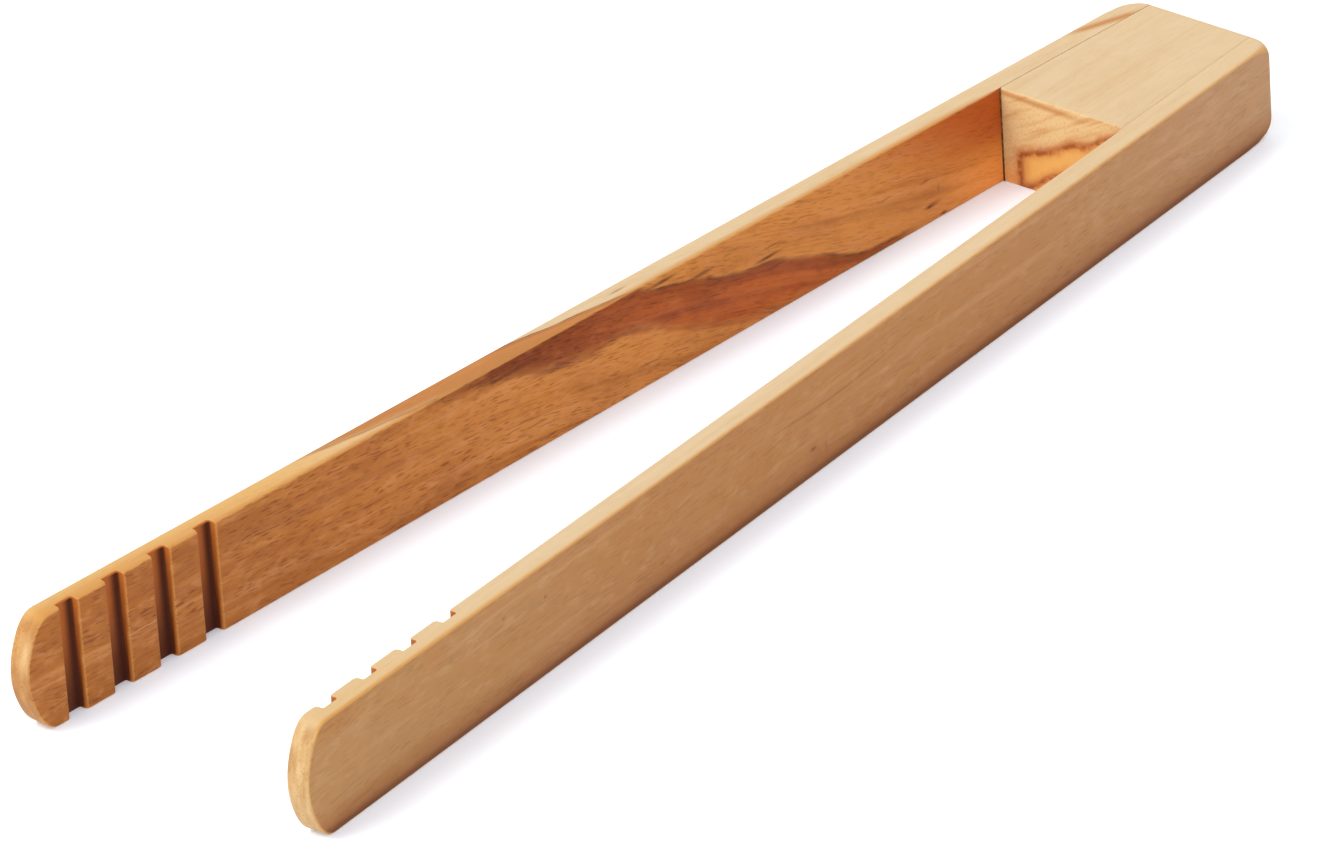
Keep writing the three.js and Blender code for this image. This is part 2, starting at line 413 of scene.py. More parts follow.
            # The rear corners are worn rounder towards the outer face.
            outside = edge[-1][1]
            worn = max(0.0, arc_drop(low.x, self.shoulder) - arc_drop(low.x, s.rear_top))
            for point in above:
                point.z -= worn * (point.y / outside) ** 3
            worn = max(0.0, arc_drop(low.x, self.heel) - arc_drop(low.x, s.rear_bottom))
            for point in below:
                point.z += worn * (point.y / outside) ** 3
            outer = self.face_run(below[-1], above[0])
            inner = self.face_run(above[-1], below[0])
            rings.append(below + outer + above + inner)
        return rings

    def rim_share(self, lane):
        """1 on the narrow edges, 0 on the broad faces, by the place in a ring."""
        place = lane % (self.RUN + self.FACE_STEPS - 1)
        if place >= self.RUN:
            return 0.0
        return min(1.0, place / self.ARC_STEPS, (self.RUN - 1 - place) / self.ARC_STEPS)

    def inner_share(self, lane):
        """1 on the inner face, 0 on the outer, by the place in a ring."""
        half = self.RUN + self.FACE_STEPS - 1
        if lane < half:
            return max(0.0, 1.0 - lane / self.ARC_STEPS)
        return min(1.0, max(0.0, (lane - half - self.RUN + 1 + self.ARC_STEPS) / self.ARC_STEPS))


def build_arm(name, side, sizes):
    """One whole arm, from the head to its tip, in one continuous mesh."""
    left = (sizes.left_corner, sizes.left_shoulder, sizes.left_heel)
    right = (sizes.right_corner, sizes.right_shoulder, sizes.right_heel)
    arm = Arm(sizes, *(left if side > 0 else right))
    own = arm.rings()
    matrix = arm.place(side)
    rings = [[matrix @ point for point in ring] for ring in own]
    depths = [arm.groove_shade(sum(point.x for point in ring) / len(ring)) for ring in own]
    return arm, loft(
        name,
        rings,
        board_of=lambda n, i: own[n][i] / MM,
        rim_of=lambda n, i: arm.rim_share(i),
        cut_of=lambda n, i: depths[n] * arm.inner_share(i),
    )


# ---- block --------------------------------------------------------------------------
def rounded_section(x, half, low, high):
    """A ring at x, half to each side and from low to high, with crisp corners: an arc round
    each corner and a run of points along each side."""
    arcs = []
    for y, z, quarter in ((1, -1, -0.5), (1, 1, 0.0), (-1, 1, 0.5), (-1, -1, 1.0)):
        middle = Vector((x, y * (half - CRISP), low + CRISP if z < 0 else high - CRISP))
        turns = [math.pi * (quarter + i / 6) for i in range(4)]
        arcs.append([middle + CRISP * Vector((0, math.cos(a), math.sin(a))) for a in turns])
    ring = []
    for arc, following in zip(arcs, arcs[1:] + arcs[:1]):
        ring += arc + [arc[-1].lerp(following[0], i / 8) for i in range(1, 8)]
    return ring


def build_block(sizes):
    """The wedge block, flush with the arms above, below and behind."""
    arm = Arm(sizes)
    ease = 0.25 * MM  # radius of the edges of its front
    stations = arc_steps(sizes.rear_top, 4) + arc_steps(sizes.rear_bottom, 6)
    stations += spaced(sizes.rear_bottom, BLOCK_LENGTH - ease, 4 * MM)
    places = [(x, 0.0) for x in sorted(set(stations)) if x < BLOCK_LENGTH - 1.5 * ease]
    turns = [0.5 * math.pi * i / 4 for i in range(5)]
    places += [(BLOCK_LENGTH - ease + ease * math.sin(turn), turn) for turn in turns]
    rings = []
    for x, turn in places:
        shrink = ease * (1 - math.cos(turn))
        half = arm.inner_half - sizes.glue_line + math.tan(arm.splay) * x - shrink
        low = arc_drop(x, sizes.rear_bottom) + shrink
        high = arm.height(x) - arc_drop(x, sizes.rear_top) - shrink
        rings.append(rounded_section(REAR_X + x, half, low, high))
    return loft(
        "spacer_block_wood",
        rings,
        board_of=lambda n, i: (rings[n][i] - Vector((REAR_X, 0, 0))) / MM,
    )


def build_glue(name, side, sizes):
    """The film of glue between the block and one arm, with a fine bead where it squeezed out."""
    arm = Arm(sizes)
    sunk = 0.02 * MM  # the film stops this far short of the wood's edges
    clear = 0.01 * MM  # and this far short of the faces on both sides of it
    proud = 0.18 * MM  # how far the bead stands ahead of the block
    spread = 0.16 * MM  # and how far it runs over the block's front
    rear = 0.3 * MM  # where the film starts
    stations = [rear + x for x in arc_steps(sizes.rear_bottom, 4)]
    stations += spaced(4 * MM, BLOCK_LENGTH, 8 * MM)
    stations += [BLOCK_LENGTH - sunk, BLOCK_LENGTH + proud]
    rings = []
    for x in stations:
        wall = arm.inner_half + math.tan(arm.splay) * x
        bead = spread if x > BLOCK_LENGTH - 0.1 * MM else 0.0
        inner = wall - sizes.glue_line + clear - bead
        outer = wall - clear
        low = arc_drop(x, sizes.rear_bottom) + sunk
        high = arm.height(x) - arc_drop(x, sizes.rear_top) - sunk
        corners = ((inner, low), (outer, low), (outer, high), (inner, high))
        rings.append([Vector((REAR_X + x, side * y, z)) for y, z in corners])
    return loft(
        name,
        rings,
        board_of=lambda n, i: (rings[n][i] - Vector((REAR_X, 0, 0))) / MM,
    )


# ---- materials ----------------------------------------------------------------------
def add(tree, kind, links=None, **settings):
    """A node with its settings, and its inputs linked or given a value."""
    node = tree.nodes.new(kind)
    for key, value in settings.items():
        setattr(node, key, value)
    for key, value in (links or {}).items():
        if isinstance(value, bpy.types.NodeSocket):
            tree.links.new(value, node.inputs[key])
        else:
            node.inputs[key].default_value = value
    return node


def rgba(tone):
    """A linear colour with full alpha, from a linear colour or an sRGB hex text."""
    return (*(linear(tone) if isinstance(tone, str) else tone), 1.0)


class Wood:
    """The node tree of one board of olive wood, over its board coordinates in millimetres.

    rise is how far the growth rings climb along the board, as points (x, z), and lean how
    far along the board they shift per millimetre of its thickness."""

    def __init__(self, name, seed, rise=((0, 0), (300, 1)), lean=0.0, wander=2.4):
        self.material = bpy.data.materials.new(name)
        self.material.use_nodes = True
        self.tree = self.material.node_tree
        self.tree.nodes.clear()
        self.seed = seed
        self.board = add(self.tree, "ShaderNodeAttribute", attribute_name="board").outputs["Vector"]
        self.x, self.y, self.z = add(self.tree, "ShaderNodeSeparateXYZ", {0: self.board}).outputs
        self.along = self.math("SUBTRACT", self.x, self.times(self.y, lean))
        slow = self.noise((1 / 60, 1 / 16, 1 / 16), detail=1.0, at=self.board).outputs[0]
        quick = self.noise((1 / 9, 1 / 5, 1 / 5), detail=1.0, at=self.board, shift=3.0).outputs[0]
        wave = self.math("ADD", self.times(slow, wander), self.times(quick, 0.9))
        climbed = self.math("SUBTRACT", self.z, self.curve(self.along, rise))
        height = self.math("ADD", climbed, wave)
        fibre = {0: self.x, 1: self.y, 2: height}
        self.fibre = add(self.tree, "ShaderNodeCombineXYZ", fibre).outputs[0]

    def vector(self, operation, a, b):
        """Vector arithmetic on two vectors."""
        return add(self.tree, "ShaderNodeVectorMath", {0: a, 1: b}, operation=operation).outputs[0]

    def math(self, operation, a, b=0.0, c=0.0, clamp=False):
        """Arithmetic on two or three numbers."""
        links = {0: a, 1: b, 2: c}
        return add(self.tree, "ShaderNodeMath", links, operation=operation, use_clamp=clamp).outputs[0]

    def times(self, first, *others):
        """The product of any number of numbers."""
        for other in others:
            first = self.math("MULTIPLY", first, other)
        return first

    def noise(self, scale, detail=2.0, roughness=0.5, at=None, shift=0.0):
        """Noise with a scale per millimetre each way, and a place of its own by its shift."""
        start = (self.seed + shift, self.seed * 0.37, shift)
        place = add(
            self.tree,
            "ShaderNodeMapping",
            {"Vector": at or self.fibre, "Scale": scale, "Location": start},
        )
        return add(
            self.tree,
            "ShaderNodeTexNoise",
            {"Vector": place.outputs[0], "Scale": 1.0, "Detail": detail, "Roughness": roughness},
        )

    def ramp(self, value, low, high, start=0.0, stop=1.0):
        """value from low..high to start..stop, smooth at both ends."""
        return add(
            self.tree,
            "ShaderNodeMapRange",
            {"Value": value, "From Min": low, "From Max": high, "To Min": start, "To Max": stop},
            interpolation_type="SMOOTHSTEP",
        ).outputs["Result"]

    def mix(self, share, under, over, blend="MIX"):
        """Two colours mixed, each a socket, a linear colour or an sRGB hex text."""
        sides = [c if isinstance(c, bpy.types.NodeSocket) else rgba(c) for c in (under, over)]
        links = {0: share, 6: sides[0], 7: sides[1]}
        return add(self.tree, "ShaderNodeMix", links, data_type="RGBA", blend_type=blend).outputs[2]

    def spot(self, centre, size):
        """1 in the middle of a knot or fleck, 0 at its rim; centre and half size in
        millimetres."""
        off = self.vector("DIVIDE", self.vector("SUBTRACT", self.board, centre), size)
        far = add(self.tree, "ShaderNodeVectorMath", {0: off}, operation="LENGTH").outputs["Value"]
        return self.ramp(far, 1.0, 0.0)

    def line(self, distance, width):
        """A soft line where distance passes through 0, gone width millimetres to each side."""
        return self.ramp(self.math("ABSOLUTE", distance), width, 0.0)

    def curve(self, value, points):
        """A smooth curve through a few points (value, result), level beyond both ends."""
        low, high = points[0][0], points[-1][0]
        share = self.math("DIVIDE", self.math("SUBTRACT", value, low), high - low, clamp=True)
        node = add(self.tree, "ShaderNodeFloatCurve", {"Value": share})
        line = node.mapping.curves[0]
        peak = max(p[1] for p in points)
        scaled = [((p[0] - low) / (high - low), p[1] / peak) for p in points]
        line.points[0].location, line.points[1].location = scaled[0], scaled[-1]
        for point in scaled[1:-1]:
            line.points.new(*point)
        node.mapping.update()
        return self.math("MULTIPLY", node.outputs[0], peak)

    def attribute(self, name):
        """A number that the mesh holds at each point."""
        return add(self.tree, "ShaderNodeAttribute", attribute_name=name).outputs["Fac"]

    def facing(self):
        """How squarely the surface faces along the board."""
        normal = add(self.tree, "ShaderNodeNewGeometry").outputs["Normal"]
        return self.math("ABSOLUTE", add(self.tree, "ShaderNodeSeparateXYZ", {0: normal}).outputs[0])

    def figure(self, middle, dark, light, contrast=1.0):
        """Growth streaks, soft clouds and the shimmer of wavy fibres around a middle tone."""
        streak = self.noise((1 / 90, 1 / 2.6, 1 / 2.6), detail=3.0, roughness=0.55).outputs[0]
        fine = self.noise((1 / 34, 1 / 0.7, 1 / 0.7), detail=2.0, shift=5.0).outputs[0]
        cloud = self.noise((1 / 30, 1 / 9, 1 / 9), detail=2.0, shift=2.0).outputs[0]
        shimmer = self.noise((1 / 5, 1 / 2.2, 1 / 2.2), detail=2.0, roughness=0.6, shift=13.0).outputs[0]
        tone = self.mix(self.ramp(streak, 0.48, 0.72, 0.0, 0.7 * contrast), middle, dark)
        tone = self.mix(self.ramp(streak, 0.5, 0.28, 0.0, 0.6 * contrast), tone, light)
        tone = self.mix(self.ramp(cloud, 0.5, 0.75, 0.0, 0.5 * contrast), tone, dark)
        tone = self.mix(self.ramp(fine, 0.5, 0.75, 0.0, 0.4 * contrast), tone, dark)
        tone = self.mix(self.ramp(shimmer, 0.5, 0.75, 0.0, 0.45 * contrast), tone, light)
        return self.mix(self.ramp(shimmer, 0.5, 0.25, 0.0, 0.4 * contrast), tone, dark)

    def end_figure(self, middle, dark, light):
        """Growth rings cut across: fine arcs and rows of dots."""
        arcs = self.noise((1 / 6, 1 / 1.6, 1 / 6), detail=2.0, at=self.board, shift=6.0).outputs[0]
        dots = self.noise((1 / 0.5, 1 / 0.5, 1 / 0.5), detail=1.0, at=self.board, shift=8.0).outputs[0]
        tone = self.mix(self.ramp(arcs, 0.45, 0.7, 0.0, 0.7), middle, light)
        tone = self.mix(self.ramp(arcs, 0.5, 0.3, 0.0, 0.6), tone, dark)
        return self.mix(self.ramp(dots, 0.55, 0.75, 0.0, 0.55), tone, dark)

    def finish(self, base, pore, pores):
        """Pores, sanding marks and a dull oiled sheen over a base colour. pore is what a
        pore leaves of the tone beneath it, and pores how strongly they show."""
        # Short dashes of pores in a row, dark where oil has soaked in, and thicker in some
        # patches. On the narrow edges and in the grooves there are few.
        dash = self.noise((1 / 2.8, 1 / 0.36, 1 / 0.36), detail=1.5, shift=7.0).outputs[0]
        patch = self.noise((1 / 26, 1 / 6, 1 / 6), shift=3.0).outputs[0]
        patch = self.ramp(patch, 0.36, 0.6, 0.45, 1.0)
        dash = self.times(self.ramp(dash, 0.52, 0.68), patch)
        on_face = self.ramp(self.attribute("rim"), 0.2, 1.0, 1.0, 0.2)
        uncut = self.ramp(self.attribute("cut"), 0.1, 0.5, 1.0, 0.1)
        base = self.mix(self.times(dash, self.times(on_face, uncut), pores), base, pore, "MULTIPLY")
        sanding = self.noise((1 / 7, 1 / 0.25, 1 / 0.25), detail=2.0, shift=11.0).outputs[0]
        relief = self.math("SUBTRACT", self.times(sanding, 0.5), dash)
        bump = {"Strength": 0.35, "Distance": 0.08 * MM, "Height": relief}
        bump = add(self.tree, "ShaderNodeBump", bump)
        rough = self.noise((1 / 25, 1 / 4, 1 / 4), shift=19.0).outputs[0]
        shader = add(
            self.tree,
            "ShaderNodeBsdfPrincipled",
            {
                "Base Color": base,
                "Roughness": self.ramp(rough, 0.3, 0.7, 0.50, 0.64),
                "Normal": bump.outputs[0],
                "IOR": 1.45,
                "Specular IOR Level": 0.2,
            },
        )
        add(self.tree, "ShaderNodeOutputMaterial", {"Surface": shader.outputs[0]})
        return self.material

    def shape_tones(self, face, edge, end, colours):
        """The tones of the edges, paler partly by painted light, the end grain of the tip, and the
        grooves with painted shade and a painted highlight on their lips, over a face.
        """
        rim = self.attribute("rim")
        # Painted light: the narrow edges, the tops above all, are painted paler than the faces, partly
        # the wood's own cream and partly the light from above.
        base = self.mix(self.ramp(rim, 0.15, 0.95), face, edge)
        # The long corners are burnished by handling: a thin honey line.
        worn = self.times(self.ramp(rim, 0.0, 0.35), self.ramp(rim, 1.0, 0.6), 0.45)
        base = self.mix(worn, base, "#cd9856")
        across = self.ramp(self.facing(), 0.4, 0.85)
        tip = self.times(across, self.ramp(self.x, 292, 294))
        base = self.mix(tip, base, end)
        cut = self.attribute("cut")
        # Painted highlight: a pale line on the lips beside each groove, where the rounding catches the
        # light.
        lip = self.times(self.ramp(cut, 0.02, 0.12), self.ramp(cut, 0.5, 0.2), 0.45)
        base = self.mix(lip, base, "#d0914c")
        # Painted shade: the inside of a groove takes a darker brown, partly the sawn wood and partly the
        # shade that falls in it.
        base = self.mix(self.ramp(cut, 0.1, 0.9, 0.0, 0.95), base, colours.cut)
        # Painted shade: the rear part of a groove is painted darkest, and its inside darker towards the
        # bottom; the dark tone is partly darker end grain and partly painted shadow.
        base = self.mix(self.ramp(cut, 1.3, 1.85, 0.0, 0.95), base, colours.groove_shadow)
        low = self.times(self.ramp(cut, 0.6, 1.2), self.ramp(self.z, 20, 1, 0.0, 0.85))
        return self.mix(low, base, colours.groove_shadow)


def left_arm_wood(colours):
    """Olive wood, sawn, sanded and oiled: an even tan face with a faint figure and one small knot,
    and cream edges, paler partly by painted light, so that it reads as calm and smooth."""
    rise = ((0, 0), (60, 3), (140, 4.5), (300, 2.0))
    wood = Wood("olive_wood_left_arm", 3.1, rise=rise, lean=5.0)
    middle = wood.mix(wood.ramp(wood.x, 0, 110), colours.rear_tan, colours.middle_tan)
    middle = wood.mix(wood.ramp(wood.x, 180, 290), middle, colours.tip_tan)
    face = wood.figure(middle, "#a5713f", "#c1966a", 0.5)
    # A fine brown line, then a small knot with a reddish halo, and a few flecks: each with
    # its centre and half its size in millimetres, its strength and its tone.
    points = ((100, 15.6), (114, 15.2), (139, 13.3), (153, 13.5), (172, 15.0))
    track = wood.curve(wood.x, points)
    fade = wood.times(wood.ramp(wood.x, 110, 140), wood.ramp(wood.x, 170, 152))
    track = wood.line(wood.math("SUBTRACT", wood.z, track), 0.4)
    face = wood.mix(wood.times(track, fade, 0.55), face, "#84532c")
    for centre, size, share, tone in (
        ((150.0, 4.8, 4.4), (5.5, 4.0, 3.4), 0.45, "#a15f38"),
        ((151.3, 4.8, 5.6), (1.5, 2.0, 0.6), 0.85, "#6a3b1f"),
        ((147.4, 4.8, 4.2), (0.8, 2.0, 1.6), 0.5, "#874f2f"),
        ((118.3, 4.8, 5.5), (1.3, 2.0, 0.6), 0.5, "#875532"),
        ((197.8, 4.8, 5.2), (1.2, 2.0, 0.5), 0.5, "#784629"),
        ((231.8, 4.8, 15.5), (0.9, 2.0, 0.5), 0.6, "#6a3c1d"),
        ((243.9, 4.8, 17.3), (1.0, 2.0, 0.5), 0.5, "#784629"),
        ((262.8, 4.8, 18.8), (6.0, 2.0, 2.6), 0.35, "#ad6b3b"),
        ((291.0, 4.8, 21.0), (10.0, 2.0, 4.0), 0.35, "#a26329"),
    ):
        face = wood.mix(wood.times(wood.spot(centre, size), share), face, tone)
    # Painted shade: the wood is painted darker towards its lower edge, where the floor beside it shades
    # it.
    face = wood.mix(wood.ramp(wood.z, 7.0, 0.5, 0.0, 0.65), face, "#915730")
    face = wood.mix(wood.ramp(wood.z, 2.6, 0.3, 0.0, 0.85), face, "#663719")
    # Painted light: the narrow edges take a paler cream than the face, partly the wood and partly the
    # light on the tops.
    edge = wood.figure(colours.cream_and_top_light, "#b79261", "#cab28d", 0.35)
    # Towards the tip, and on the outer corner above all, the edge is honey-coloured.
    honey = wood.times(wood.ramp(wood.y, 3.7, 4.6), wood.ramp(wood.x, 190, 290, 0.35, 0.9))
    edge = wood.mix(wood.ramp(wood.x, 225, 290, 0.0, 0.4), edge, "#c49e61")
    edge = wood.mix(honey, edge, "#c18b45")
    end = wood.end_figure(colours.left_end, "#a27643", "#cdad7c")
    return wood.finish(wood.shape_tones(face, edge, end, colours), colours.pore, 0.2)


def right_arm_wood(colours):
    """Olive wood with heart and sap in one board: a tawny face full of short pore dashes,
    crossed by a red-brown band of heartwood with a thin dark vein along its upper side."""
    rise = ((0, 0), (60, 9), (150, 31), (190, 36), (300, 41))
    wood = Wood("olive_wood_right_arm", 8.6, rise=rise, lean=6.6)
    middle = wood.mix(wood.ramp(wood.x, 110, 290), colours.bright_tawny, colours.deep_tawny)
    face = wood.figure(middle, "#9d5a29", "#d3925a", 0.8)
    # Ahead of the block the inner face turns red above and orange below.
    inside = wood.times(wood.ramp(wood.y, 4.0, 1.0), wood.ramp(wood.x, 30, 40))
    slanted = wood.math("ADD", wood.x, wood.times(wood.z, -1.7))
    near = wood.times(inside, wood.ramp(slanted, 58, 18))
    face = wood.mix(wood.times(near, wood.ramp(wood.z, 2, 11), 0.95), face, "#b65620")
    low = wood.times(inside, wood.ramp(wood.x, 66, 44), wood.ramp(wood.z, 13, 2))
    face = wood.mix(wood.times(low, 0.9), face, "#f8a350")
    # The edge is cream, partly painted light from above, honey at its tip and beside the inner face,
    # with a streak behind.
    edge = wood.figure(colours.cream_and_top_light, "#b8925f", "#cab28d", 0.4)
    edge = wood.mix(wood.ramp(wood.x, 195, 240, 0.0, 0.75), edge, "#c99a52")
    rim = wood.attribute("rim")
    beside = wood.times(wood.ramp(wood.y, 1.6, 0.2, 0.0, 0.85), wood.ramp(wood.x, 42, 60))
    edge = wood.mix(beside, edge, "#bc8343")
    handled = wood.times(wood.ramp(wood.y, 4.4, 1.5, 0.0, 0.8), wood.ramp(wood.x, 215, 285))
    edge = wood.mix(handled, edge, "#bd8440")
    streak = wood.math("SUBTRACT", wood.y, wood.times(wood.math("SUBTRACT", wood.x, 5.0), 0.3))
    streak = wood.times(wood.line(streak, 1.7), wood.ramp(wood.x, 2, 7), wood.ramp(wood.x, 22, 15))
    edge = wood.mix(wood.times(streak, 0.85), edge, "#ad6c2a")
    # Painted light: the narrow edges are laid paler over the face.
    base = wood.mix(rim, face, edge)
    # The band of heartwood, between an upper and a lower track along the inner face.
    ripple = wood.noise((1 / 10, 1 / 4, 1 / 4), detail=3.0, at=wood.board, shift=4.0).outputs[0]
    high = wood.math("ADD", wood.z, wood.times(wood.math("SUBTRACT", ripple, 0.5), 2.4))
    upper = ((60, 0), (76, 1.4), (84, 2.3), (91, 5), (102, 9.2))
    upper += ((115, 12.2), (129, 16.2), (146, 21.2), (160, 26))
    upper = wood.curve(wood.along, upper)
    lower = ((95, 0), (107, 0.5), (129, 6.3), (146, 12.7), (163, 13.9))
    lower += ((171, 16.1), (185, 19.4), (196, 21.2), (210, 26))
    lower = wood.curve(wood.along, lower)
    under = wood.math("SUBTRACT", upper, high)
    over = wood.math("SUBTRACT", high, lower)
    reach = wood.times(wood.ramp(wood.along, 66, 76), wood.ramp(wood.along, 214, 198))
    band = wood.times(wood.ramp(under, -0.4, 0.6), wood.ramp(over, -2.0, 2.2), reach)
    heart = wood.mix(wood.ramp(wood.x, 115, 185), colours.bright_heart, colours.deep_heart)
    heart = wood.figure(heart, "#75330e", "#bb6c34", 0.8)
    heart = wood.mix(wood.ramp(under, 3.5, 0.2, 0.0, 0.45), heart, "#75330e")
    # Painted light: the heartwood is paler on the narrow edges too.
    heart = wood.mix(wood.times(rim, 0.65), heart, "#bd8142")
    base = wood.mix(band, base, heart)
    # Its veins: a thin dark one above, broken and doubled, and a faint one below.
    broken = wood.noise((1 / 14, 1 / 6, 1 / 6), at=wood.board, shift=9.0).outputs[0]
    broken = wood.ramp(broken, 0.36, 0.6, 0.25, 1.0)
    doubled = wood.math("SUBTRACT", under, 1.3)
    for distance, width, share in ((under, 0.75, 0.85), (doubled, 0.5, 0.4), (over, 0.9, 0.35)):
        vein = wood.times(wood.line(distance, width), broken, reach, share)
        base = wood.mix(vein, base, colours.vein)
    # Knots and flecks: centre, half size, strength and tone.
    for centre, size, share, tone in (
        ((63.9, 0, 3.6), (3.4, 2, 0.9), 0.75, "#84401d"),
        ((64.6, 0, 3.5), (1.4, 2, 0.5), 0.8, "#592a12"),
        ((65.5, 0, 9.3), (2.2, 2, 0.45), 0.6, "#84401d"),
        ((60.8, 0, 0.7), (1.6, 2, 0.5), 0.9, "#472210"),
        ((61.9, 0, 6.6), (0.5, 2, 1.7), 0.45, "#934f25"),
        ((77.0, 0, 10.3), (4.2, 2, 0.35), 0.55, "#905127"),
        ((109.0, 0, 12.3), (5.2, 2, 0.6), 0.9, "#592a12"),
        ((106.5, 0, 9.6), (5.0, 2, 0.4), 0.6, "#683116"),
        ((100.8, 0, 16.4), (3.2, 2, 0.35), 0.5, "#905127"),
        ((108.0, 0, 14.2), (4.4, 2, 0.35), 0.6, "#84461f"),
        ((126.5, 0, 16.6), (4.5, 2, 0.8), 0.75, "#683116"),
        ((137.0, 0, 19.6), (6.0, 2, 0.7), 0.8, "#592a12"),
        ((164.5, 0, 14.4), (7.0, 2, 1.1), 0.55, "#75371d"),
        ((177.0, 0, 18.7), (9.0, 2, 0.8), 0.75, "#683116"),
        ((184.0, 0, 20.2), (8.0, 2, 0.5), 0.6, "#683116"),
        ((192.4, 0, 1.7), (3.4, 2, 1.2), 0.4, "#84461f"),
        ((207.4, 0, 1.7), (2.0, 2, 0.9), 0.45, "#84461f"),
        ((146.5, 2.4, 21.1), (3.4, 0.5, 2), 0.65, "#87552b"),
    ):
        base = wood.mix(wood.times(wood.spot(centre, size), share), base, tone)
    end = wood.end_figure(colours.right_end, "#9c602c", "#c6975c")
    # Painted highlight: a pale patch high on the right tip's end, where it catches the light.
    end = wood.mix(wood.times(wood.spot((300, 1.3, 16.5), (6, 2.0, 6.0)), 0.8), end, "#d0a974")
    tones = wood.shape_tones(base, base, end, colours)
    return wood.finish(tones, colours.pore, wood.ramp(wood.x, 60, 210, 0.3, 0.6))


def block_wood(colours):
    """Olive wood block: cream and straight-grained above, the cream partly painted light, and on its
    front the end grain, with a dark looped ring around an orange heart."""
    wood = Wood("olive_wood_block", 5.4, wander=1.0)
    # The top takes the cream edge tone, partly painted light from above.
    top = wood.figure(colours.cream_and_top_light, "#b5905e", "#cab28d", 0.35)
    # Growth rings seen end on: faint slanting lines.
    turned = {"Vector": wood.board, "Rotation": (-0.5, 0, 0)}
    turned = add(wood.tree, "ShaderNodeMapping", turned).outputs[0]
    rings = wood.noise((1 / 8, 1 / 11, 1 / 1.3), detail=3.0, at=turned).outputs[0]
    dots = wood.noise((1 / 0.6, 1 / 0.45, 1 / 0.45), detail=1.0, at=wood.board).outputs[0]
    front = wood.mix(wood.ramp(rings, 0.45, 0.72, 0.0, 0.6), colours.front, "#c18649")
    front = wood.mix(wood.ramp(wood.z, 7, 0, 0.0, 0.8), front, "#efa355")
    front = wood.mix(wood.ramp(dots, 0.52, 0.75, 0.0, 0.4), front, "#b87f43")
    stripe = wood.math("ADD", wood.z, wood.times(wood.y, 0.03))
    stripe = wood.line(wood.math("SUBTRACT", stripe, 18.6), 1.1)
    stripe = wood.times(stripe, wood.ramp(wood.y, 9.0, -2.0))
    front = wood.mix(wood.times(stripe, 0.7), front, "#b5743c")
    # The loop: an upper track from side to side, a lower one, and a steep left end.
    shake = wood.noise((1 / 5, 1 / 1.6, 1 / 1.6), detail=2.0, at=wood.board, shift=2.0).outputs[0]
    high = wood.math("ADD", wood.z, wood.times(wood.math("SUBTRACT", shake, 0.5), 1.6))
    side = wood.math("ADD", wood.y, wood.times(wood.math("SUBTRACT", shake, 0.5), 1.2))
    upper = ((-11, 6.8), (-9.1, 7.4), (-7.1, 8.2), (-4.1, 9.2), (-1.1, 10.7))
    upper += ((2.1, 12.6), (5.9, 13.4), (9.6, 15.7), (15, 18))
    upper = wood.curve(wood.y, upper)
    lower = wood.curve(wood.y, ((-11, 0), (-8, 0.7), (-4, 3.6), (3, 7.0), (15, 13.0)))
    # room is how far inside the loop a point lies.
    below, beside = wood.math("SUBTRACT", upper, high), wood.math("ADD", side, 10.3)
    room = wood.math("SMOOTH_MIN", below, beside, 1.2)
    room = wood.math("SMOOTH_MIN", room, wood.math("SUBTRACT", high, lower), 0.8)
    front = wood.mix(wood.ramp(room, -0.3, 0.5), front, colours.front_heart)
    front = wood.mix(wood.times(wood.line(room, 2.6), 0.7), front, "#c47538")
    heavy = wood.ramp(shake, 0.4, 0.6, 0.45, 0.9)
    front = wood.mix(wood.times(wood.line(room, 1.2), heavy), front, "#95491c")
    base = wood.mix(wood.ramp(wood.facing(), 0.4, 0.8), top, front)
    return wood.finish(base, colours.pore, 0.06)


def dried_glue(name, tone, seed):
    """Wood glue, dried and sanded back: it darkens where dust has stuck to it."""
    wood = Wood(name, seed)
    patch = wood.noise((1 / 3, 1, 1 / 0.8), at=wood.board).outputs[0]
    base = wood.mix(wood.ramp(patch, 0.35, 0.65, 0.0, 0.5), tone, "#a17647")
    return wood.finish(base, tone, 0.2)


def white_table(colours):
    """Matt white acrylic, seamless and lit a little from below, so that it looks blank and
    the shadows on it are short and pale."""
    material = bpy.data.materials.new("matt_white_table")
    material.use_nodes = True
    tree = material.node_tree
    tree.nodes.clear()
    place = add(tree, "ShaderNodeTexCoord").outputs["Object"]
    grain = add(tree, "ShaderNodeTexNoise", {"Vector": place, "Scale": 900.0, "Detail": 2.0})
    bump = {"Strength": 0.05, "Distance": 0.1 * MM, "Height": grain.outputs[0]}
    bump = add(tree, "ShaderNodeBump", bump)
    shader = add(
        tree,
        "ShaderNodeBsdfPrincipled",
        {
            "Base Color": rgba(colours.floor),
            "Roughness": 0.7,
            "Normal": bump.outputs[0],
            "Emission Color": rgba("#dce8fc"),
            "Emission Strength": 0.2,
        },
    )
    add(tree, "ShaderNodeOutputMaterial", {"Surface": shader.outputs[0]})
    return material


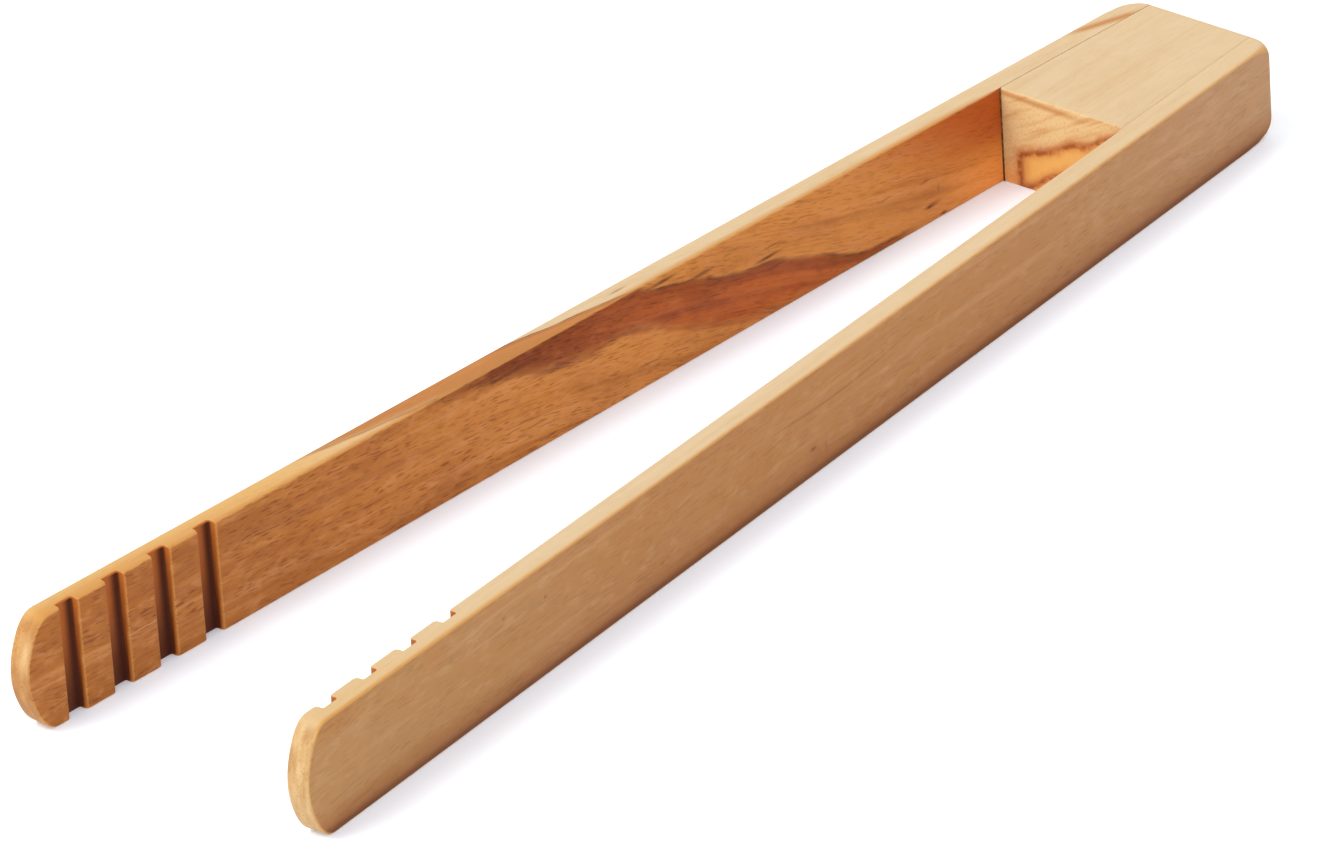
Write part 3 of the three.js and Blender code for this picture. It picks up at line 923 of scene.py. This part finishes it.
# ---- light and camera ---------------------------------------------------------------
def light_room(scene):
    """A white room with two soft lights, shown without a film curve."""
    world = bpy.data.worlds.new("white_room")
    world.use_nodes = True
    background = world.node_tree.nodes["Background"]
    background.inputs["Color"].default_value = (1.0, 1.0, 1.0, 1.0)
    background.inputs["Strength"].default_value = 1.0
    scene.world = world
    scene.view_settings.view_transform = "Standard"

    # Each light: its strength, how wide it looks in degrees, and where it shines from. The
    # first is high on the right arm's side, the second low and wide ahead of the tips.
    for name, energy, spread, towards in (
        ("overhead_softbox", 1.62, 25, (0.9, -0.5, 1.5)),
        ("front_softbox", 0.44, 90, (0.9, 0.1, 0.41)),
    ):
        sun = bpy.data.lights.new(name, "SUN")
        sun.energy = energy
        sun.angle = math.radians(spread)
        lamp = bpy.data.objects.new(name, sun)
        lamp.rotation_mode = "QUATERNION"
        lamp.rotation_quaternion = Vector(towards).to_track_quat("Z", "Y")
        scene.collection.objects.link(lamp)


def long_lens(scene):
    """A camera far off with a long lens, ahead of the left arm and above it."""
    lens = bpy.data.cameras.new("long_lens")
    lens.sensor_width = 36.0
    lens.lens = 320.9
    lens.clip_start, lens.clip_end = 0.1, 50.0
    camera = bpy.data.objects.new("long_lens", lens)
    azimuth, elevation, roll = math.radians(41.26), math.radians(29.52), math.radians(-3.70)
    distance = 2.121  # metres
    aim = Vector((17.1, 3.5, 10.0)) * MM
    level = math.cos(elevation)
    back = Vector((level * math.cos(azimuth), level * math.sin(azimuth), math.sin(elevation)))
    camera.location = aim + back * distance
    camera.rotation_mode = "QUATERNION"
    camera.rotation_quaternion = back.to_track_quat("Z", "Y") @ Quaternion((0, 0, 1), roll)
    scene.collection.objects.link(camera)
    return camera


# ---- operators ----------------------------------------------------------------------
class TONGS_OT_arms(bpy.types.Operator):
    """Build both arms"""

    bl_idname = "tongs.arms"
    bl_label = "Arms"

    def execute(self, context):
        sizes, colours = context.scene.tongs_sizes, context.scene.tongs_colours
        for name, side, wood in (("left_arm", 1, left_arm_wood), ("right_arm", -1, right_arm_wood)):
            arm, piece = build_arm(name + "_wood", side, sizes)
            piece.data.materials.append(wood(colours))
            matrix = arm.place(side)
            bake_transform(piece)
            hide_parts(name + "_root", name + "_blade")
        return {"FINISHED"}


class TONGS_OT_block(bpy.types.Operator):
    """Build the wedge block between the arms"""

    bl_idname = "tongs.block"
    bl_label = "Spacer block"

    def execute(self, context):
        sizes, colours = context.scene.tongs_sizes, context.scene.tongs_colours
        piece = build_block(sizes)
        piece.data.materials.append(block_wood(colours))
        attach(piece, "head")
        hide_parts("spacer_block")
        return {"FINISHED"}


class TONGS_OT_glue(bpy.types.Operator):
    """Build the two glue lines"""

    bl_idname = "tongs.glue"
    bl_label = "Glue lines"

    def execute(self, context):
        sizes, colours = context.scene.tongs_sizes, context.scene.tongs_colours
        lines = (("left_glue_line", 1, colours.pale_glue), ("right_glue_line", -1, colours.glue))
        for name, side, tone in lines:
            piece = build_glue(name, side, sizes)
            piece.data.materials.append(dried_glue("dried_wood_" + name, tone, 1.7 + side))
            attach(piece, "head")
        return {"FINISHED"}


class TONGS_OT_stage(bpy.types.Operator):
    """Lay the table, light it and aim the camera"""

    bl_idname = "tongs.stage"
    bl_label = "Table, light and camera"

    def execute(self, context):
        scene = context.scene
        bm = bmesh.new()
        bmesh.ops.create_grid(bm, x_segments=4, y_segments=4, size=6.0)
        mesh = bpy.data.meshes.new("table")
        bm.to_mesh(mesh)
        bm.free()
        table = bpy.data.objects.new("table", mesh)
        table.data.materials.append(white_table(scene.tongs_colours))
        scene.collection.objects.link(table)
        light_room(scene)
        scene.camera = long_lens(scene)
        return {"FINISHED"}


class TONGS_PT_panel(bpy.types.Panel):
    """Sidebar panel of the tongs"""

    bl_label = "Kitchen tongs"
    bl_space_type = "VIEW_3D"
    bl_region_type = "UI"
    bl_category = "Tongs"

    def draw(self, context):
        for kind in PIECES:
            self.layout.operator(kind.bl_idname)
        for group in (context.scene.tongs_sizes, context.scene.tongs_colours):
            box = self.layout.box()
            for name in group.__annotations__:
                box.prop(group, name)


PIECES = (TONGS_OT_arms, TONGS_OT_block, TONGS_OT_glue, TONGS_OT_stage)
CLASSES = (TongsSizes, TongsColours, *PIECES, TONGS_PT_panel)


def register():
    for kind in CLASSES:
        bpy.utils.register_class(kind)
    bpy.types.Scene.tongs_sizes = bpy.props.PointerProperty(type=TongsSizes)
    bpy.types.Scene.tongs_colours = bpy.props.PointerProperty(type=TongsColours)


def unregister():
    del bpy.types.Scene.tongs_sizes
    del bpy.types.Scene.tongs_colours
    for kind in reversed(CLASSES):
        bpy.utils.unregister_class(kind)


def main():
    register()
    bpy.ops.tongs.arms()
    bpy.ops.tongs.block()
    bpy.ops.tongs.glue()
    bpy.ops.tongs.stage()


if __name__ == "__main__":
    main()
